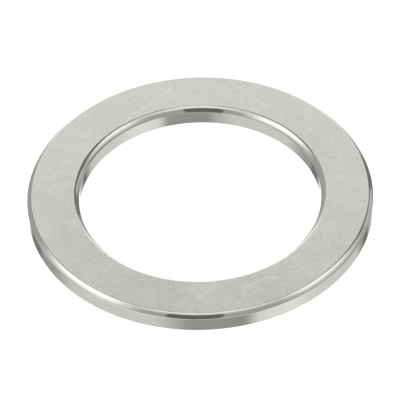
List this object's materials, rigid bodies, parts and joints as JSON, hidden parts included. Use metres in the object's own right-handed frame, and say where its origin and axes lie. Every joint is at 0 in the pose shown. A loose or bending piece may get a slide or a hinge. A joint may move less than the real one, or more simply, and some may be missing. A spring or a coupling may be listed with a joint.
{
  "type": "thrust ball bearing washer",
  "caption": "Flat hardened steel ring that seats in a housing, clears the shaft with its bore and carries the ball groove of a thrust bearing on its lower face.",
  "frame": {"origin": "on the bore's axis, in the plane of the raceway face that the washer lies on", "axes": "+Z along the bore's axis, from the raceway face to the flat back face"},
  "size_m": [0.06, 0.06, 0.0036],
  "materials": {
    "bearing_steel": "ground satin faces, smooth turned corners, finely honed walls and raceway"
  },
  "bodies": {
    "root": {"housing_washer": "bearing_steel"}
  },
  "joints": []
}
